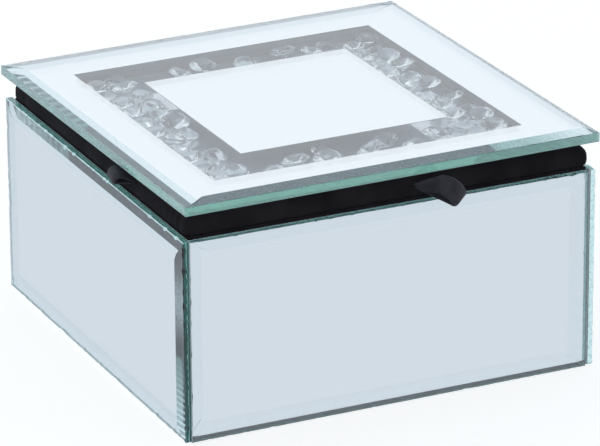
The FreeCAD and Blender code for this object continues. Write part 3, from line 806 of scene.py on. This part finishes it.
def lid_velvet(material):
    """Velvet drawn over the tray's rails, turned in above and below, gathered at its corners."""
    low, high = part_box("lid_velvet_cover")
    half = high.x
    count, arc = 150, 6
    profile = drawn_velvet_profile(half, low.z, high.z)
    points = []
    for radius, level, softness in profile:
        if softness > 0:
            corner = 1.4 * MM + 0.35 * max(0.0, half - radius)
        else:
            corner = 0.25 * MM
        for at, along, side in square_ring(radius, corner, level, count, arc):
            if abs(along) > radius - corner - 1e-6:
                out = Vector((at.x, at.y, 0)).normalized()
            else:
                out = Matrix.Rotation(math.pi / 2 * side, 3, "Z") @ Vector((0, -1, 0))
            puff = 0.4 * pleats(along, half, side) + 0.16 * ripple(at.x, at.y, at.z * 0.6, 9.0, 4.0)
            puff += 0.08 * ripple(at.x, at.y, at.z, 2.4, 9.0)
            lean = 1.1 * max(0.0, at.x / half) ** 8
            points.append(at + (out * puff + Vector((lean, 0, 0))) * (softness * MM))
    faces = loft_faces(len(profile), (count + arc) * 4, True)
    piece = solid("lid_drawn_velvet", points, faces, material, "lid", smooth=True)
    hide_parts("lid_velvet_cover")


def rounded_block(name, low, high, radius, spacing, material, body, wave=0.0, seed=1.0):
    """Closed soft-edged block as an even grid, each point pushed out from an inner block."""
    form = bmesh.new()
    counts = [max(2, round((high[axis] - low[axis]) / spacing)) for axis in range(3)]
    index = {}

    def corner(i, j, k):
        if (i, j, k) not in index:
            at = Vector(low[a] + (high[a] - low[a]) * n / counts[a] for a, n in enumerate((i, j, k)))
            core = Vector(min(max(at[a], low[a] + radius), high[a] - radius) for a in range(3))
            away = at - core
            if away.length > 1e-9:
                away.normalize()
            bulge = wave * ripple(at.x, at.y, at.z, 8.0, seed) if k else 0.0
            index[i, j, k] = form.verts.new(core + away * (radius + bulge) if away.length else at)
        return index[i, j, k]

    for axis in range(3):
        first, second = [a for a in range(3) if a != axis]
        for level in (0, counts[axis]):
            for u in range(counts[first]):
                for v in range(counts[second]):
                    square = []
                    for du, dv in ((0, 0), (1, 0), (1, 1), (0, 1)):
                        at = [0, 0, 0]
                        at[axis], at[first], at[second] = level, u + du, v + dv
                        square.append(corner(*at))
                    form.faces.new(square)
    bmesh.ops.recalc_face_normals(form, faces=form.faces)
    mesh = bpy.data.meshes.new(name)
    form.to_mesh(mesh)
    form.free()
    return as_object(name, mesh, material, body, True)


def swell(pad, held, pressure, cap):
    """Blow the pad up by a short cloth simulation, with some points held; none moves beyond cap."""
    scene = bpy.context.scene
    before = [vertex.co.copy() for vertex in pad.data.vertices]
    pins = pad.vertex_groups.new(name="glued")
    pins.add(held, 1.0, "REPLACE")
    cloth = pad.modifiers.new("swell", "CLOTH")
    cloth.collision_settings.use_collision = False
    settings = cloth.settings
    settings.quality = 6
    settings.mass = 0.2
    settings.vertex_group_mass = "glued"
    settings.use_pressure = True
    settings.uniform_pressure_force = pressure
    settings.effector_weights.gravity = 0
    for number in range(1, CLOTH_FRAMES + 1):
        scene.frame_set(number)
    swollen = pad.evaluated_get(bpy.context.evaluated_depsgraph_get())
    after = [vertex.co.copy() for vertex in swollen.data.vertices]
    pad.modifiers.remove(cloth)
    pad.vertex_groups.remove(pins)
    scene.frame_set(1)
    for vertex, old, new in zip(pad.data.vertices, before, after):
        move = new - old
        if move.length > cap:
            move = move.normalized() * cap
        vertex.co = old + move


def puffed_pad(name, node, body, material, glued_above, pressure, cap):
    """Velvet pad in a CAD pad's place, swollen away from the face that it is glued down by."""
    low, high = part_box(node)
    tall = high.z - low.z
    slack = Vector((0.4 * MM, 0.4 * MM, 0))
    pad = rounded_block(name, low + slack, high - slack, 0.45 * tall, 3.2 * MM, material, body)
    glued = high.z if glued_above else low.z
    held = [vertex.index for vertex in pad.data.vertices if abs(vertex.co.z - glued) < 0.3 * tall]
    swell(pad, held, pressure, cap)
    smoothing = pad.modifiers.new("round", "SUBSURF")
    smoothing.levels = smoothing.render_levels = 1
    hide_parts(node)


def swept_bar(start, end, profile, count, seed):
    """Points and faces of a bar: a closed profile of (outward, level) carried along a straight path."""
    points = []
    run = end - start
    side = Vector((run.y, -run.x, 0)).normalized()
    for step in range(count + 1):
        spot = start + run * step / count
        for outward, level in profile:
            at = spot + side * outward + Vector((0, 0, level))
            points.append(at + side * BAR_WAVE * ripple(at.x, at.y, at.z, 7.0, seed))
    return points, loft_faces(count + 1, len(profile), False)


def lining_profiles(side):
    """Two sections of a wall's lining: with its rim over the board's top, and stopping below it.

    Each is a list of (distance out from the middle of the box, level).
    """
    low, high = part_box(f"{side}_velvet_lining")
    board_low, board_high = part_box(f"{side}_board")
    axis = 1 if side in ("front", "back") else 0
    if side in ("front", "left"):
        face, outer, board = -high[axis], -low[axis], -board_high[axis]
    else:
        face, outer, board = low[axis], high[axis], board_low[axis]
    bottom, top, ledge = low.z, high.z, board_high.z
    back = board - 0.02 * MM
    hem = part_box(f"{side}_silvering")[1].z + 0.03 * MM
    toe = [(back, bottom), (face - HEM_TOE, bottom), (face - HEM_TOE, bottom + 0.2 * MM),
           (face, bottom + 0.5 * MM)]
    rimmed = toe + [
        (face, (bottom + top) / 2), (face, top - 1.2 * MM), (face + 0.15 * MM, top - 0.45 * MM),
        (face + 0.55 * MM, top - 0.08 * MM), (face + 1.2 * MM, top), (outer - 1.0 * MM, top),
        (outer - 0.35 * MM, top - 0.06 * MM), (outer - 0.03 * MM, top - 0.32 * MM),
        (outer + 0.05 * MM, ledge), (outer + 0.05 * MM, hem), (outer - 0.05 * MM, hem),
        (outer - 0.1 * MM, ledge + 0.01 * MM), (back, ledge + 0.01 * MM),
    ]
    low_card = toe + [
        (face, (bottom + ledge) / 2), (face, ledge - 0.4 * MM), (face + 0.2 * MM, ledge - 0.02 * MM),
        (back, ledge - 0.02 * MM),
    ]
    return rimmed, low_card


def lining_stretches(side, reach):
    """Runs of a wall's lining as (start, end, section); it has no rim under a hinge leaf."""
    rimmed, low_card = lining_profiles(side)
    if side != "back":
        return [(-reach, reach, rimmed)]
    stretches = []
    start = -reach
    for word in HINGES:
        leaf_low, leaf_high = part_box(f"{word}_hinge_base_leaf")
        stretches += [(start, leaf_low.x, rimmed), (leaf_low.x, leaf_high.x, low_card)]
        start = leaf_high.x
    return stretches + [(start, reach, rimmed)]


def corner_tucks(side):
    """Points and faces of the velvet folded over the two end faces of a side wall's board."""
    low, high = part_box(f"{side}_velvet_lining")
    board_low, board_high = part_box(f"{side}_board")
    if side == "left":
        span = (low.x, board_high.x + 0.2 * MM)
    else:
        span = (board_low.x - 0.2 * MM, high.x)
    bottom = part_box("front_silvering")[1].z + 0.03 * MM
    points, faces = [], []
    for end in (board_low.y, board_high.y):
        tuck = 0.06 * MM * math.copysign(1, end)
        deep = sorted((end - 4 * tuck, end + tuck))
        first = len(points)
        for level in (bottom, high.z - 0.25 * MM):
            for x, y in ((0, 0), (1, 0), (1, 1), (0, 1)):
                points.append(Vector((span[x], deep[y], level)))
        faces += [tuple(first + corner for corner in patch) for patch in loft_faces(2, 4, False)]
    return points, faces


def wall_lining(side, material):
    """Velvet-covered card inside a wall, turned out over the top of the board as a soft rim."""
    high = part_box(f"{side}_velvet_lining")[1]
    across = side in ("front", "back")
    sign = -1 if side in ("front", "left") else 1
    points, faces = [], []

    def join(more_points, more_faces):
        first = len(points)
        points.extend(more_points)
        faces.extend(tuple(first + corner for corner in patch) for patch in more_faces)

    reach = high.x if across else high.y
    for number, (start, end, profile) in enumerate(lining_stretches(side, reach)):
        path = [Vector((-sign * along, 0, 0)) if across else Vector((0, sign * along, 0))
                for along in (start, end)]
        count = max(4, round((end - start) / (1.5 * MM)))
        join(*swept_bar(*path, profile, count, number + 2.0))
    if not across:
        join(*corner_tucks(side))
    piece = solid(f"{side}_lining_velvet", points, faces, material, "base", smooth=True)
    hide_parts(f"{side}_velvet_lining")


# ---- ribbons

RUN_STEPS = 16
FOLD_STEPS = 14
STRIPS = 20


def ribbon_path(crest):
    """The loop seen from its edge, as (share of the way to the nose, share of the hump's height)."""
    path = [(step / RUN_STEPS, 0.0) for step in range(RUN_STEPS + 1)]
    for step in range(1, FOLD_STEPS + 1):
        angle = math.pi / 2 * step / FOLD_STEPS
        path.append((crest + (1 - crest) * math.cos(angle), math.sin(angle)))
    for step in range(1, RUN_STEPS + 1):
        share = 1 - step / RUN_STEPS
        path.append((crest * share, 0.2 + 0.8 * share ** 1.1))
    return path


def ribbon(name, node, root, nose, hump, crest, material):
    """Loop of ribbon: its lower run goes from the velvet to a folded nose, its upper run arches back.

    root and nose are the far and near ends of the line where it leaves the velvet, and of its fold;
    hump is the arch's height at its far and near edge, in millimetres, and crest the share of the
    run at which it is highest.
    """
    root, nose = [[Vector(at) for at in pair] for pair in (root, nose)]
    rise = (nose[0] - root[0]).cross(nose[1] - nose[0]).normalized()
    rise *= math.copysign(1, rise.z)
    grid = []
    for share, lift in ribbon_path(crest):
        line = []
        for strip in range(STRIPS + 1):
            v = strip / STRIPS
            reach = share * (1 - 0.08 * abs(2 * v - 1) ** 6)
            at = root[0].lerp(root[1], v).lerp(nose[0].lerp(nose[1], v), reach)
            high = hump[0] + (hump[1] - hump[0]) * v ** 0.8
            fold = 0.16 * math.sin(9.0 * v + 2.0) * (1 - share) + 0.07 * math.sin(5.0 * share + 4.0 * v)
            line.append(at + rise * (lift * high + 0.35 * lift * math.sin(math.pi * v) + fold))
        grid.append(line)
    points, along, across = [], [], []
    travelled = 0.0
    for number, line in enumerate(grid):
        before, after = grid[max(0, number - 1)], grid[min(len(grid) - 1, number + 1)]
        if number:
            travelled += (line[STRIPS // 2] - before[STRIPS // 2]).length
        for layer in (1, -1):
            for strip in range(STRIPS + 1)[::layer]:
                ahead = after[strip] - before[strip]
                aside = line[min(STRIPS, strip + 1)] - line[max(0, strip - 1)]
                out = ahead.cross(aside).normalized()
                v = strip / STRIPS - 0.5
                hem = 1.0 - 0.35 * max(0.0, (abs(v) - 0.44) / 0.06) ** 2
                points.append((line[strip] + out * layer * RIBBON_THICK / 2 * hem) * MM)
                along.append(travelled)
                across.append(v * RIBBON_WIDTH)
    mesh = bpy.data.meshes.new(name)
    mesh.from_pydata(points, [], loft_faces(len(grid), 2 * (STRIPS + 1), False))
    turn_outward(mesh)
    set_attribute(mesh, "along", along)
    set_attribute(mesh, "across", across)
    piece = as_object(name, mesh, material, "lid", True)
    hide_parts(node)


# ---- studio

def white_room():
    """Even white room with a darker, cooler ceiling."""
    world = bpy.data.worlds.new("studio")
    bpy.context.scene.world = world
    world.use_nodes = True
    tree = world.node_tree
    tree.nodes.clear()
    direction = add(tree, "TexCoord").outputs["Generated"]
    height = add(tree, "SeparateXYZ", {0: direction}).outputs["Z"]
    ceiling = spread(tree, height, 0.0, 1.0, 0.40, 0.68, "SMOOTHSTEP")
    light = add(tree, "Background", {
        "Color": blend_colours(tree, ceiling, colour(0.93, 0.965, 1.04), colour(0.84, 1.06, 1.18)),
        "Strength": spread(tree, ceiling, 1.05, 0.42, 0.0, 1.0),
    })
    add(tree, "OutputWorld", {"Surface": light.outputs["Background"]})


def studio():
    """White table in a white room, with one broad soft light."""
    scene = bpy.context.scene
    scene.view_settings.view_transform = "Standard"
    white_room()

    mesh = bpy.data.meshes.new("table_top")
    radius, count = 14.0, 64
    turns = [2 * math.pi * number / count for number in range(count)]
    rim = [(radius * math.cos(turn), radius * math.sin(turn), 0.0) for turn in turns]
    mesh.from_pydata(rim, [], [tuple(range(count))])
    floor = as_object("table_top", mesh, floor_material(), None, False)

    lamp = bpy.data.lights.new("softbox", "AREA")
    lamp.shape = "RECTANGLE"
    lamp.size, lamp.size_y = 1.6, 1.2
    lamp.energy = 4
    softbox = bpy.data.objects.new("softbox", lamp)
    softbox.location = (-0.5, 0.6, 1.7)
    softbox.rotation_euler = (-softbox.location).to_track_quat("-Z", "Y").to_euler()
    softbox.visible_camera = False
    scene.collection.objects.link(softbox)


def camera():
    """Camera at the left front of the box, a little above it, with a long lens."""
    azimuth, elevation, roll = (math.radians(angle) for angle in (25.1419, 21.5552, -0.3472))
    data = bpy.data.cameras.new("camera")
    data.sensor_width = 36.0
    data.lens = 288.9
    data.clip_end = 60.0
    eye = bpy.data.objects.new("camera", data)
    turn = (Matrix.Rotation(-azimuth, 4, "Z") @ Matrix.Rotation(math.pi / 2 - elevation, 4, "X")
            @ Matrix.Rotation(roll, 4, "Z"))
    eye.matrix_world = Matrix.Translation((-0.6455, -1.3792, 0.6394)) @ turn
    bpy.context.scene.collection.objects.link(eye)
    bpy.context.scene.camera = eye


# ---- CAD nodes that stay

def finish_nodes(names, material, round_over=0.0):
    """Give CAD nodes their material and, where asked, slightly rounded edges in millimetres."""
    for name in names:
        node = NODES[name]
        node.data.materials.clear()
        node.data.materials.append(material)
        if round_over:
            weld = node.modifiers.new("weld", "WELD")
            weld.merge_threshold = WELD
            edges = node.modifiers.new("edges", "BEVEL")
            edges.width = round_over * MM
            edges.segments = 2
            edges.limit_method = "ANGLE"


def glasses_and_mirrors():
    """Wall mirrors and the lid's glass, with the silver behind them and the tray's mirror floor."""
    wall_glasses(glass_material(
        "ground_edge_glass", 0.16, 0.07, colour(0.42, 0.7, 0.68), colour(0.8, 1.0, 0.98)))
    lid_glass(glass_material(
        "polished_edge_glass", 0.06, 0.01, colour(0.9, 1.0, 0.97), colour(0.8, 0.9, 0.9)))
    outwards = {"front": (0, -1, 0), "back": (0, 1, 0), "left": (-1, 0, 0), "right": (1, 0, 0)}
    for side, outward in outwards.items():
        # The front mirror's foot shows dark grey paint instead of silver: a band of painted shade.
        foot, paint = (1.9, 0.2) if side == "front" else (-1.0, 0.42)
        finish_nodes([f"{side}_silvering"],
                     silver_material(f"silver_{side}", outward, paint=paint, foot=foot))
    up = (0, 0, 1)
    finish_nodes(["lid_border_silvering", "lid_centre_silvering"],
                 silver_material("silver_lid", up, paint=0.9, rim=colour(0.2, 0.34, 0.3)))
    finish_nodes(["tray_mirror_floor"],
                 silver_material("silver_tray", up, colour(0.87, 0.89, 0.95), shine=0.6))


def soft_goods():
    """Velvet on the lid and in the box, the felt under it, and the two ribbon pulls."""
    velvet = velvet_material()
    lid_velvet(velvet)
    for side in SIDES:
        wall_lining(side, velvet)
    puffed_pad("floor_velvet_pad", "velvet_floor_pad", "base", velvet, False, 3.0, 1.2 * MM)
    puffed_pad("lid_velvet_panel", "lid_lining_card", "lid", velvet, True, 2.0, 0.8 * MM)
    low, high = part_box("felt_base_pad")
    felt = rounded_block("base_felt", low, high, 0.3 * MM, 2.0 * MM, felt_material(), "base",
                         wave=0.06 * MM, seed=5.0)
    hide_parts("felt_base_pad")

    satin = ribbon_material()
    ribbon("front_ribbon_loop", "front_pull_ribbon",
           root=((8.8, -71.8, 74.6), (10.8, -71.8, 73.3)),
           nose=((22.1, -85.1, 75.6), (14.8, -90.7, 72.9)),
           hump=(5.6, 2.4), crest=0.62, material=satin)
    ribbon("side_ribbon_loop", "side_pull_ribbon",
           root=((-71.8, -25.6, 77.0), (-71.8, -31.7, 75.8)),
           nose=((-78.0, -21.6, 76.4), (-79.0, -29.5, 75.7)),
           hump=(2.8, 2.0), crest=0.66, material=satin)


def carcass_and_hinges():
    """Fibreboard box, the tray's rails, and the hinges."""
    boards = ["base_board", "lid_board"] + [f"{side}_board" for side in SIDES]
    finish_nodes(boards, board_material(), 0.15)
    rail = rail_material(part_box("tray_mirror_floor")[1].z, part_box("tray_back_rail")[1].z)
    finish_nodes([f"tray_{side}_rail" for side in SIDES], rail, 0.15)
    nickel = steel_material("nickel_plate", (0.76, 0.74, 0.7), 0.25)
    for word in HINGES:
        finish_nodes([f"{word}_hinge_base_leaf", f"{word}_hinge_lid_leaf", f"{word}_hinge_pin"], nickel, 0.12)
    screw = steel_material("screw_plate", (0.7, 0.69, 0.66), 0.15)
    finish_nodes(["hinge_base_screws", "hinge_lid_screws"], screw, 0.1)


def main():
    cycles = bpy.context.scene.cycles
    cycles.max_bounces = 40
    cycles.glossy_bounces = 24
    cycles.transmission_bounces = 40
    cycles.transparent_max_bounces = 16
    camera()
    studio()
    glasses_and_mirrors()
    soft_goods()
    crystals(crystal_material())
    carcass_and_hinges()


main()
bpy.context.view_layer.update()
